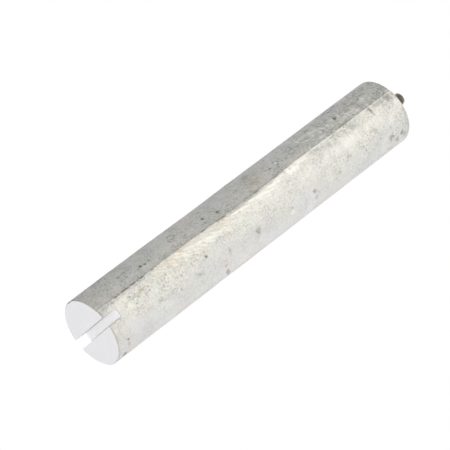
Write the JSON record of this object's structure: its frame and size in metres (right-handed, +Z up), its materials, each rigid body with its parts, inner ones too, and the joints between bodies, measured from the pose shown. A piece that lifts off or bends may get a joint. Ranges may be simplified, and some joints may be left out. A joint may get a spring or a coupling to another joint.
{
  "type": "water heater anode rod",
  "caption": "Round cast magnesium anode rod with a short threaded stud in one end and a straight saw slot across the other.",
  "frame": {"origin": "middle of the slotted bottom end, on which the rod stands", "axes": "+Z up the bar's axis towards the stud, +X along the saw slot, towards its deeper end"},
  "size_m": [0.0262, 0.0258, 0.16],
  "materials": {
    "cast_magnesium": "as cast, matt grey, with a filed flat and sawn end",
    "stud_steel": "yellow passivated steel, browned"
  },
  "bodies": {
    "root": {"anode_body": "cast_magnesium", "threaded_stud": "stud_steel"}
  },
  "joints": []
}
